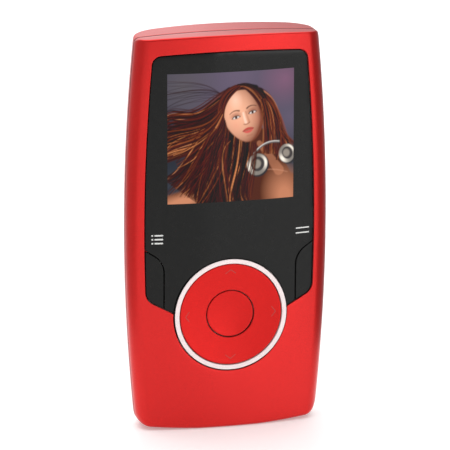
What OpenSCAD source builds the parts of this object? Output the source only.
// Pocket digital audio player: a barrel-sided two-shell case with a glossy
// window, a round navigation pad, two corner keys and its electronics inside.
// X is to the viewer's right, the front faces -Y, and it stands on z = 0.

/* [Case] */
// Widest width of the case
case_w = 41; // [40:0.1:42]
// Height of the case
case_h = 80.2; // [79:0.1:82]
// Thickness of the case at its centre
case_t = 12; // [12:0.1:12.6]
// Height of the widest point above the bottom
waist_z = 40.1; // [39:0.1:41]
// Radius of the barrel-shaped sides
side_r = 385; // [350:5:450]
// Radius of the arched top end
top_r = 270; // [220:5:350]
// Radius of the arched bottom end
bottom_r = 185; // [160:5:250]
// Radius of the crowned front face
front_crown_r = 88; // [84:1:100]
// Radius of the crowned rear face
rear_crown_r = 100; // [95:1:120]
// Thickness of the case walls
wall = 1.3; // [1.2:0.05:1.4]

/* [Window and keys] */
// Margin of red case around the black window
window_margin = 3.22; // [3:0.02:3.5]
// Thickness of the window lens
lens_t = 0.8; // [0.7:0.05:0.9]
// Width of the open joint around the lens and the keys
seam = 0.16; // [0.12:0.01:0.2]
// Half the distance between the two corner keys
key_x = 13.5; // [13.3:0.1:13.7]

/* [Navigation pad] */
// Height of the pad's centre above the bottom
pad_z = 23.5; // [23:0.1:24]
// Outer radius of the white ring
ring_r = 11.4; // [11.2:0.1:11.6]
// Width of the white ring's face
ring_w = 0.9; // [0.8:0.05:1]
// Radius of the centre button
button_r = 4.75; // [4.5:0.05:4.9]

/* [Display] */
// Width of the display's picture
picture_w = 25.5; // [25:0.1:26]
// Height of the display's picture
picture_h = 26.4; // [26:0.1:27]
// Height of the picture's lower edge above the bottom
picture_z = 46.3; // [46:0.1:46.6]

/* [Hidden] */
$fn = 64;
arc_fn = 256;

// Case section and outline
half_w = case_w / 2;
half_t = case_t / 2;
front_depth = 4.8;
rear_depth = case_t - front_depth;
parting_y = front_depth - half_t;
flat_w = 2.2;
// Half the width of the straight band along the sides, where the covers part
side_band = 0.25;
top_corner_r = 1.2;
bottom_corner_r = 3;
// The corner rounds reach this far past the sides, so that they cross them cleanly
corner_over = 0.03;
foot_cut = 0.1;
side_c = [half_w - side_r, waist_z];
top_c = [0, case_h - top_r];
bottom_c = [0, bottom_r - foot_cut];
lip_in = 1.95;
lip_h = 0.8;

// Layers behind the front face, as insets from the case's surface
lens_in = 0.12;
lens_back = lens_in + lens_t;
film_t = 0.06;
tape_back = lens_back + 0.18;
ledge_back = tape_back + 0.8;
ledge_w = 0.8;

// Window outline
window_top_r = 200;
window_corner_r = 2;
window_low_r = 2.8;
slope = 27.5;
slope_p = [key_x, pad_z + 1.76];
slope_dir = [cos(slope), sin(slope)];
key_top_z = pad_z + 9.3;
key_top_r = 4;
key_top_slope = 32;

// Navigation pad, measured from the front along Y
ring_front = -half_t;
ring_back = -3.15;
ring_flange_y = -4;
ring_flange_r = 12.2;
flange_t = 0.5;
ring_in = ring_r - ring_w;
pad_r = ring_in - 0.15;
pad_rim_y = -5.8;
pad_dish_r = 84;
pad_back = -4.35;
pad_hole_r = button_r + 0.2;
nub_r = 0.8;
nub_at = 8.2;
nub_y = -2.75;
gimbal_in = 9.2;
gimbal_out = 10.1;
gimbal_y = [-3.9, -3.4];
pivot_y = -3.65;
pivot_r = 0.25;
pivot_gap = 0.05;
button_front = -5.2;
button_back = -4.1;
button_dish_r = 34;
key_stem_y = -2.65;

// Boards and layers
board_y = [-1.5, -0.7];
membrane_y = [-2.35, -2.05];
sheet_y = [-1.96, -1.88];
keypad_top_z = 38.5;
keypad_low_z = 8.5;
dome_h = 0.34;
dome_r = 2;
picture_x = 0.35;
lcd_y = -3.8;
lcd_border = 1.5;
lcd_glass_t = 1;
lcd_light_t = 0.9;
lcd_low_z = picture_z - 3.6;
lcd_top_z = picture_z + picture_h + 1.6;
lcd_w = picture_w + 2 * lcd_border;
cell_size = [25, 3.3, 38];
cell_p = [0, 0.6, 33.5];
jack_x = -8;
jack_y = 1.75;
jack_r = 1.78;
jack_nose_r = 2.5;
jack_z = [0.35, 13.2];
usb_x = 7;
usb_y = 1.35;
usb_size = [7.7, 3.9];
usb_z = [0.35, 9.6];
usb_wall = 0.3;
hold_z = 57;
hold_y = 1;
hold_travel = 2;
hold_size = [1.5, 6];
screw_at = [[-16.6, 66], [16.6, 66], [-16.1, 9], [16.1, 9]];
screw_r = 0.7;
boss_r = 1.5;

// Radius of the rounded edge that meets a crowned face and the side smoothly
function edge_radius(crown, depth) =
    let(dx = half_w - flat_w, dy = crown - depth + side_band)
    (crown * crown - dx * dx - dy * dy) / (2 * (crown - dx));

// Point at distance r1 from c1 and r2 from c2, on one side of the line c1 to c2
function circle_meet(c1, r1, c2, r2, side) =
    let(d = norm(c2 - c1), a = (r1 * r1 - r2 * r2 + d * d) / (2 * d),
        h = sqrt(r1 * r1 - a * a), u = (c2 - c1) / d)
    c1 + a * u + side * h * [-u.y, u.x];

// Point on the line through p along dir that lies at distance r from c
function line_meet(p, dir, c, r) =
    let(b = dir * (p - c), q = (p - c) * (p - c) - r * r)
    p + (sqrt(b * b - q) - b) * dir;

// Prism along Y of an outline drawn in X and Z
module along_y(y0, y1) {
    translate([0, y1, 0]) rotate([90, 0, 0]) linear_extrude(y1 - y0) children();
}

// Solid turned about the pad's axis from a profile of radius and y
module about_pad() {
    translate([0, 0, pad_z]) rotate([-90, 0, 0]) rotate_extrude($fn = 128) children();
}

module block(low, high) {
    translate(low) cube(high - low);
}

module both_sides() {
    children();
    mirror([1, 0, 0]) children();
}

module half_face(crown, depth, inset) {
    edge = edge_radius(crown, depth);
    edge_x = half_w - edge;
    lean = asin((edge_x - flat_w) / (crown - edge));
    join_x = flat_w + (crown - inset) * sin(lean);
    square([half_w - inset, side_band]);
    square([flat_w, depth - inset]);
    intersection() {
        translate([flat_w, depth - crown]) circle(crown - inset, $fn = arc_fn);
        square([join_x, depth]);
    }
    intersection() {
        translate([edge_x, side_band]) circle(edge - inset);
        translate([join_x, side_band]) square([half_w, depth]);
    }
}

module half_section(inset) {
    half_face(rear_crown_r, rear_depth, inset);
    mirror([0, 1]) half_face(front_crown_r, front_depth, inset);
}

// Right half of the case, whose side is turned about a far axis
module case_half(inset) {
    intersection() {
        translate([side_c.x, parting_y, side_c.y]) rotate([-90, 0, 0]) rotate([0, 0, 180])
            rotate_extrude($fn = arc_fn)
                translate([-side_c.x, 0]) half_section(inset);
        block([0, -case_t, -case_h], [case_w, case_t, 2 * case_h]);
    }
}

// What is cut from a sharp corner to leave a round one of radius r at c
module corner_notch(c, r, d1, d2) {
    difference() {
        polygon([c, c + 3 * r * d1, c + 3 * r * (d1 + d2), c + 3 * r * d2]);
        translate(c) circle(r);
    }
}

function away(from, to) = (to - from) / norm(to - from);

module ends(inset) {
    intersection() {
        translate(top_c) circle(top_r - inset, $fn = arc_fn);
        translate(bottom_c) circle(bottom_r - inset, $fn = arc_fn);
        translate([-case_w, inset]) square([2 * case_w, case_h]);
    }
}

module outer_ends() {
    reach = side_r + corner_over;
    t = circle_meet(top_c, top_r - top_corner_r, side_c, reach - top_corner_r, -1);
    b = circle_meet(bottom_c, bottom_r - bottom_corner_r, side_c, reach - bottom_corner_r, 1);
    difference() {
        ends(0);
        for (m = [0, 1]) mirror([m, 0]) {
            corner_notch(t, top_corner_r, away(top_c, t), away(side_c, t));
            corner_notch(b, bottom_corner_r, away(bottom_c, b), away(side_c, b));
        }
    }
}

// What chamfers a lower corner of the space inside the case
module low_chamfer(inset) {
    corner = circle_meet(bottom_c, bottom_r - inset, side_c, side_r - inset, 1);
    for (m = [0, 1]) mirror([m, 0]) translate(corner) rotate(45) square([4, 2], center = true);
}

// The whole case, or its space inside a wall of thickness inset
module case_solid(inset) {
    intersection() {
        union() both_sides() case_half(inset);
        along_y(-case_t, case_t)
            if (inset == 0) outer_ends();
            else difference() {
                ends(inset);
                low_chamfer(inset);
            }
    }
}

// Flat outline that follows the barrel sides and the arched ends
module plate_outline(inset, low, high) {
    intersection() {
        for_sides(side_r - inset);
        translate(top_c) circle(top_r - inset, $fn = arc_fn);
        translate(bottom_c) circle(bottom_r - inset, $fn = arc_fn);
        translate([-case_w, low]) square([2 * case_w, high - low]);
    }
}

module for_sides(r) {
    intersection() {
        translate(side_c) circle(r, $fn = arc_fn);
        translate([-side_c.x, side_c.y]) circle(r, $fn = arc_fn);
    }
}

// Window outline with its sloped lower corners, grown by grow
module window_outline(grow) {
    r_side = side_r - window_margin + grow;
    r_top = window_top_r + grow;
    top_at = [0, case_h - window_margin - window_top_r];
    r_corner = window_corner_r + grow;
    r_low = window_low_r + grow;
    line_p = slope_p + grow * [slope_dir.y, -slope_dir.x];
    normal = [-slope_dir.y, slope_dir.x];
    t = circle_meet(top_at, r_top - r_corner, side_c, r_side - r_corner, -1);
    b = line_meet(line_p + r_low * normal, slope_dir, side_c, r_side - r_low);
    difference() {
        intersection() {
            for_sides(r_side);
            translate(top_at) circle(r_top, $fn = arc_fn);
            translate([-case_w, pad_z]) square([2 * case_w, case_h]);
        }
        for (m = [0, 1]) mirror([m, 0]) {
            corner_notch(t, r_corner, away(top_at, t), away(side_c, t));
            corner_notch(b, r_low, away(side_c, b), -normal);
            polygon([line_p - 16 * slope_dir, line_p + 12 * slope_dir,
                     line_p + 12 * slope_dir - 12 * normal,
                     line_p - 16 * slope_dir - 12 * normal]);
        }
    }
}

// Right corner key's outline before the window cuts it, grown by grow
module key_outline(grow) {
    r = key_top_r + grow;
    c = [key_x + key_top_r, key_top_z];
    p = c + r * [-sin(key_top_slope), cos(key_top_slope)];
    q = p + 6 * [cos(key_top_slope), sin(key_top_slope)];
    translate([key_x - grow, 0]) square([10, key_top_z]);
    translate(c) circle(r);
    polygon([p, q, [q.x, key_top_z - 1], [c.x, key_top_z - 1]]);
}

module ring_space(r) {
    translate([0, pad_z]) circle(r, $fn = 128);
}

// Everything of the window that is not key or ring
module lens_outline(shrink) {
    difference() {
        window_outline(-shrink);
        ring_space(ring_r + shrink);
        for (m = [0, 1]) mirror([m, 0]) key_outline(shrink);
    }
}

module screw_holes(r, y0, y1) {
    for (p = screw_at) translate([p.x, y0, p.y]) rotate([-90, 0, 0]) cylinder(r = r, h = y1 - y0);
}

module front_cover() {
    color("firebrick") difference() {
        union() {
            difference() {
                case_solid(0);
                case_solid(wall);
                block([-case_w, parting_y, -1], [case_w, case_t, case_h + 1]);
                along_y(-case_t, 0) window_outline(0);
                along_y(-case_t, 0) ring_space(ring_r + 0.2);
            }
            lens_ledge();
            cover_bosses();
        }
        screw_holes(screw_r + 0.02, -3.3, 0);
    }
}

// Shelf that the lens is taped to
module lens_ledge() {
    difference() {
        intersection() {
            difference() {
                case_solid(tape_back);
                case_solid(ledge_back);
            }
            along_y(-case_t, parting_y) difference() {
                window_outline(wall);
                window_outline(-ledge_w);
            }
        }
        along_y(-case_t, 0) ring_space(ring_r + 2);
        both_sides() along_y(-case_t, 0) key_outline(0.6);
    }
}

module cover_bosses() {
    for (p = screw_at) intersection() {
        along_y(-case_t, board_y[0] - 0.02) translate(p) circle(boss_r);
        case_solid(tape_back + 0.05);
    }
}

module rear_cover() {
    color("darkred") difference() {
        union() {
            difference() {
                case_solid(0);
                case_solid(wall);
                block([-case_w, -case_t, -1], [case_w, parting_y, case_h + 1]);
            }
            rear_lip();
        }
        translate([jack_x, jack_y, -1]) cylinder(r = jack_nose_r + 0.1, h = 5);
        translate([usb_x, usb_y, -1]) linear_extrude(5) usb_outline(0.15);
        hold_slot();
        screw_holes(boss_r + 0.1, parting_y - lip_h - 1, board_y[0] + 0.1);
    }
}

// Tongue that centres the rear cover in the front one, and the rib that holds it
module rear_lip() {
    rim_band(wall + 0.15, lip_in, parting_y - lip_h, parting_y + 1.2);
    rim_band(wall - 0.3, wall + 0.4, parting_y + 0.12, parting_y + 1);
}

module rim_band(outer, inner, y0, y1) {
    along_y(y0, y1) difference() {
        rim_outline(outer);
        rim_outline(inner);
    }
}

module rim_outline(inset) {
    difference() {
        intersection() {
            for_sides(side_r - inset);
            ends(inset);
        }
        low_chamfer(inset);
    }
}

module hold_slot() {
    half = hold_size[1] / 2 + hold_travel / 2 + 0.25;
    block([15.5, hold_y - hold_size[0] / 2 - 0.15, hold_z - half],
          [half_w + 1, hold_y + hold_size[0] / 2 + 0.15, hold_z + half]);
}

module display_lens() {
    color([0.12, 0.12, 0.13]) difference() {
        intersection() {
            case_solid(lens_in);
            along_y(-case_t, 0) lens_outline(seam);
        }
        case_solid(lens_back);
    }
}

// Black print behind the lens, open where the picture shows
module lens_mask() {
    gap = 0.2;
    color("black") difference() {
        intersection() {
            case_solid(lens_back);
            along_y(-case_t, -2) difference() {
                lens_outline(seam + 0.2);
                translate([picture_x - picture_w / 2 - gap, picture_z - gap])
                    square([picture_w + 2 * gap, picture_h + 2 * gap]);
            }
        }
        case_solid(lens_back + film_t);
    }
}

module lens_tape() {
    color("dimgray") difference() {
        intersection() {
            case_solid(lens_back + film_t);
            along_y(-case_t, -2) difference() {
                lens_outline(seam + 0.2);
                window_outline(-ledge_w);
            }
        }
        case_solid(tape_back);
        along_y(-case_t, 0) ring_space(ring_r + 2);
        both_sides() along_y(-case_t, 0) key_outline(0.6);
    }
}

module ring_trim() {
    edge = 0.15;
    color("white") difference() {
        about_pad() polygon([
            [ring_in, ring_back], [ring_in, ring_front + edge], [ring_in + edge, ring_front],
            [ring_r - edge, ring_front], [ring_r, ring_front + edge], [ring_r, ring_flange_y],
            [ring_flange_r, ring_flange_y], [ring_flange_r, ring_back]
        ]);
        translate([0, pivot_y, pad_z]) rotate([0, 90, 0])
            cylinder(r = pivot_r + pivot_gap, h = 3 * ring_r, center = true);
    }
}

module nav_pad() {
    color("crimson") {
        about_pad() difference() {
            translate([pad_hole_r, pad_rim_y]) square([pad_r - pad_hole_r, pad_back - pad_rim_y]);
            translate([0, pad_rim_y - sqrt(pow(pad_dish_r, 2) - pow(pad_r - 0.2, 2))])
                circle(pad_dish_r, $fn = arc_fn);
        }
        difference() {
            for (a = [0:90:270]) translate([0, 0, pad_z]) rotate([0, a, 0])
                translate([nub_at, pad_back - 0.3, 0]) rotate([-90, 0, 0])
                    cylinder(r = nub_r, h = nub_y - pad_back + 0.3);
            translate([0, pivot_y, pad_z])
                cylinder(r = pivot_r + pivot_gap, h = 3 * nub_at, center = true);
        }
    }
}

// Rocking ring under the pad: it tips up and down on the pins at its sides, and
// the pad's upper and lower nubs tip left and right on the pins that point in
module nav_gimbal() {
    color("lightgray") {
        about_pad() translate([gimbal_in, gimbal_y[0]])
            square([gimbal_out - gimbal_in, gimbal_y[1] - gimbal_y[0]]);
        for (a = [0, 180]) translate([0, pivot_y, pad_z]) {
            rotate([0, a + 90, 0]) translate([0, 0, gimbal_in + 0.4]) cylinder(r = pivot_r, h = 2.3);
            rotate([0, a, 0]) translate([0, 0, nub_at - 0.5]) cylinder(r = pivot_r, h = 1.8);
        }
    }
}

module centre_button() {
    stem_r = 1.2;
    chamfer = 0.2;
    flange_r = button_r + 0.8;
    color("firebrick") about_pad() {
        difference() {
            polygon([[0, button_front], [button_r - chamfer, button_front],
                     [button_r, button_front + chamfer], [button_r, button_back],
                     [flange_r, button_back], [flange_r, button_back + flange_t],
                     [0, button_back + flange_t]]);
            translate([0, button_front - sqrt(pow(button_dish_r, 2) - pow(button_r - chamfer, 2))])
                circle(button_dish_r, $fn = arc_fn);
        }
        translate([0, button_back]) square([stem_r, key_stem_y - button_back]);
    }
}

module right_key_solid() {
    stem_r = 1.3;
    key_back = -3.6;
    intersection() {
        case_solid(lens_in);
        along_y(-case_t, key_back) intersection() {
            window_outline(-seam);
            key_outline(0);
        }
    }
    translate([key_x + 1.7, key_back - 0.5, pad_z + 7]) rotate([-90, 0, 0])
        cylinder(r = stem_r, h = key_stem_y - key_back + 0.5);
}

module left_key() {
    color([0.1, 0.1, 0.11]) mirror([1, 0, 0]) right_key_solid();
}

module right_key() {
    color([0.1, 0.1, 0.11]) right_key_solid();
}

// Places of the seven switches: four under the pad, one in the middle, two keys
switch_at = concat(
    [for (a = [0:90:270]) [nub_at * cos(a), pad_z + nub_at * sin(a)]],
    [[0, pad_z], [-key_x - 1.7, pad_z + 7], [key_x + 1.7, pad_z + 7]]
);

module key_membrane() {
    color("gainsboro") difference() {
        along_y(membrane_y[0], membrane_y[1]) plate_outline(2.6, keypad_low_z, keypad_top_z);
        screw_holes(boss_r + 0.2, membrane_y[0] - 1, membrane_y[1] + 1);
    }
}

module dome_sheet() {
    color("lightyellow") difference() {
        along_y(sheet_y[0], sheet_y[1]) plate_outline(2.8, keypad_low_z, keypad_top_z);
        screw_holes(boss_r + 0.3, sheet_y[0] - 1, sheet_y[1] + 1);
    }
}

module switch_domes() {
    cap_r = (dome_r * dome_r + dome_h * dome_h) / (2 * dome_h);
    color("silver") for (p = switch_at) translate([p.x, board_y[0], p.y]) rotate([90, 0, 0])
        intersection() {
            translate([0, 0, dome_h - cap_r]) sphere(cap_r, $fn = 128);
            cylinder(r = dome_r + 1, h = dome_h + 1);
        }
}

module main_board() {
    color("darkgreen") difference() {
        along_y(board_y[0], board_y[1]) difference() {
            plate_outline(2.25, 3.4, case_h - 3);
            low_chamfer(2.25);
        }
        screw_holes(screw_r + 0.1, board_y[0] - 1, board_y[1] + 1);
    }
}

module lcd_glass() {
    color("midnightblue")
        block([picture_x - lcd_w / 2, lcd_y, lcd_low_z],
              [picture_x + lcd_w / 2, lcd_y + lcd_glass_t, lcd_top_z]);
}

module lcd_backlight() {
    y0 = lcd_y + lcd_glass_t;
    color("white")
        block([picture_x - lcd_w / 2, y0, lcd_low_z],
              [picture_x + lcd_w / 2, y0 + lcd_light_t, lcd_top_z]);
}

// Pressed tray around the glass and the backlight
module lcd_frame() {
    t = 0.2;
    gap = 0.05;
    low = [picture_x - lcd_w / 2 - gap, lcd_y + 0.3, lcd_low_z - gap];
    high = [picture_x + lcd_w / 2 + gap, lcd_y + lcd_glass_t + lcd_light_t + gap, lcd_top_z + gap];
    color("silver") difference() {
        block(low - [t, 0, t], high + [t, t, t]);
        block(low - [0, 1, 0], high);
        block([picture_x - 8, low.y - 1, lcd_low_z - 2], [picture_x + 8, high.y, lcd_low_z + 1]);
    }
}

// Flexible tail that folds from the glass's lower edge down to the board
module lcd_flex() {
    t = 0.12;
    y0 = lcd_y + 0.7;
    color("orange") translate([picture_x - 7, 0, 0]) rotate([90, 0, 90]) linear_extrude(14)
        polygon([[y0, lcd_low_z], [y0, lcd_low_z - 1.2], [board_y[0] - t, lcd_low_z - 2.6],
                 [board_y[0] - t, lcd_low_z - 4], [board_y[0], lcd_low_z - 4],
                 [board_y[0], lcd_low_z - 2.5], [y0 + t, lcd_low_z - 1.1], [y0 + t, lcd_low_z]]);
}

// Flat package on the back of the board, centred at p
module chip(p, size, height) {
    lead = 0.12;
    translate([p.x - size.x / 2, board_y[1] + lead, p.y - size.y / 2]) cube([size.x, height, size.y]);
    translate([p.x - size.x / 2 + 0.4, board_y[1], p.y - size.y / 2 + 0.4])
        cube([size.x - 0.8, lead + 0.01, size.y - 0.8]);
}

module processor_chip() {
    color("dimgray") chip([0, 24], [10, 10], 0.9);
}

module flash_chip() {
    color("dimgray") chip([0, 50], [12, 18], 0.9);
}

module tuner_chip() {
    color("dimgray") chip([-11, 22], [4, 4], 0.8);
}

module power_chip() {
    color("dimgray") chip([11, 20], [5, 5], 0.8);
}

module crystal() {
    color("silver") chip([11, 27], [3.2, 2.5], 0.7);
}

// Small capacitors and resistors in two rows beside the processor
module chip_parts() {
    color("tan") for (s = [-1, 1], i = [0:5])
        block([s * 7.2 - 0.5, board_y[1], 18 + 2.2 * i], [s * 7.2 + 0.5, board_y[1] + 0.5, 18.6 + 2.2 * i]);
}

module battery_cell() {
    color("silver") translate([cell_p.x - cell_size.x / 2, cell_p.y, cell_p.z]) cube(cell_size);
}

module battery_circuit() {
    z = cell_p.z + cell_size.z + 0.1;
    color("seagreen") block([-8, cell_p.y + 0.8, z], [8, cell_p.y + 1.6, z + 2.2]);
}

// Lead from the battery circuit down beside the cell to the board
module battery_lead(y, drop) {
    r = 0.35;
    path = [[8.4, y, cell_p.z + cell_size.z + 1.3], [14, y, cell_p.z + cell_size.z + 1.3],
            [14, y, drop], [14, board_y[1] + r + 0.05, drop - 2]];
    for (i = [0:2]) {
        step = path[i + 1] - path[i];
        translate(path[i]) rotate([0, acos(step.z / norm(step)), atan2(step.y, step.x)])
            cylinder(r = r, h = norm(step), $fn = 24);
        translate(path[i + 1]) sphere(r * 1.1, $fn = 24);
    }
}

module battery_lead_red() {
    color("red") battery_lead(cell_p.y + 0.75, 32);
}

module battery_lead_black() {
    color("black") battery_lead(cell_p.y + 1.6, 30);
}

module battery_pad() {
    y = cell_p.y + cell_size.y;
    color("black") block([-7, y, cell_p.z + 6], [7, y + 0.5, cell_p.z + cell_size.z - 6]);
}

module headphone_jack() {
    body = 2.38;
    color([0.15, 0.15, 0.16]) difference() {
        union() {
            translate([jack_x, jack_y, jack_z[0]]) cylinder(r = jack_nose_r, h = 3);
            block([jack_x - 3, jack_y - body, 2.4], [jack_x + 3, jack_y + body, jack_z[1]]);
        }
        translate([jack_x, jack_y, jack_z[0] - 1]) cylinder(r = jack_r, h = jack_z[1] - jack_z[0] + 0.3);
    }
}

module jack_contacts() {
    color("gold") for (s = [-1, 1], z = [4.5, 8, 11.5])
        block([jack_x + s * 3.35 - 0.35, board_y[1], z - 0.5],
              [jack_x + s * 3.35 + 0.35, board_y[1] + 0.25, z + 0.5]);
}

// Mouth of the data socket, wide at the back and narrow at the front
module usb_outline(grow) {
    w = usb_size[0] / 2 + grow;
    h = usb_size[1] / 2 + grow;
    polygon([[-w, h], [w, h], [w, -0.4], [w - 0.9, -h], [-w + 0.9, -h], [-w, -0.4]]);
}

module usb_shell() {
    color("silver") translate([usb_x, usb_y, usb_z[0]]) difference() {
        linear_extrude(usb_z[1] - usb_z[0]) usb_outline(0);
        translate([0, 0, -1]) linear_extrude(usb_z[1] - usb_z[0] + 0.7) usb_outline(-usb_wall);
    }
}

module usb_tongue() {
    color("black") block([usb_x - 2.6, usb_y - 0.2, usb_z[0] + 1],
                         [usb_x + 2.6, usb_y + 0.7, usb_z[1] - usb_wall]);
}

module usb_contacts() {
    color("gold") for (i = [-2:2])
        block([usb_x + 0.8 * i - 0.18, usb_y - 0.32, usb_z[0] + 1.4],
              [usb_x + 0.8 * i + 0.18, usb_y - 0.2, usb_z[1] - 1]);
}

// Slider with a tab inward and three grip ribs outward
module hold_knob() {
    half = hold_size[0] / 2;
    z0 = hold_z - hold_travel / 2 - hold_size[1] / 2;
    z1 = z0 + hold_size[1];
    mid = (z0 + z1) / 2;
    color("dimgray") {
        block([18, hold_y - half, z0], [20.15, hold_y + half, z1]);
        block([16.6, hold_y - 0.5, mid - 0.6], [18.1, hold_y + 0.5, mid + 0.6]);
        for (i = [-1:1])
            block([20.1, hold_y - half, mid + 1.1 * i - 0.15],
                  [20.35, hold_y + half, mid + 1.1 * i + 0.15]);
    }
}

module hold_switch() {
    color("silver") block([13.2, board_y[1], hold_z - 3.5], [16, board_y[1] + 1.2, hold_z + 3.5]);
}

module board_screws() {
    head_r = 1;
    color("gray") for (p = screw_at) translate([p.x, board_y[1] + 0.02, p.y]) rotate([-90, 0, 0]) {
        difference() {
            cylinder(r = head_r, h = 0.5);
            translate([-0.7, -0.12, 0.25]) cube([1.4, 0.24, 1]);
            translate([-0.12, -0.7, 0.25]) cube([0.24, 1.4, 1]);
        }
        translate([0, 0, -2.4]) cylinder(r = screw_r, h = 2.5);
    }
}

front_cover();
rear_cover();
display_lens();
lens_mask();
lens_tape();
ring_trim();
nav_pad();
nav_gimbal();
centre_button();
left_key();
right_key();
key_membrane();
dome_sheet();
switch_domes();
main_board();
lcd_glass();
lcd_backlight();
lcd_frame();
lcd_flex();
processor_chip();
flash_chip();
tuner_chip();
power_chip();
crystal();
chip_parts();
battery_cell();
battery_circuit();
battery_lead_red();
battery_lead_black();
battery_pad();
headphone_jack();
jack_contacts();
usb_shell();
usb_tongue();
usb_contacts();
hold_knob();
hold_switch();
board_screws();
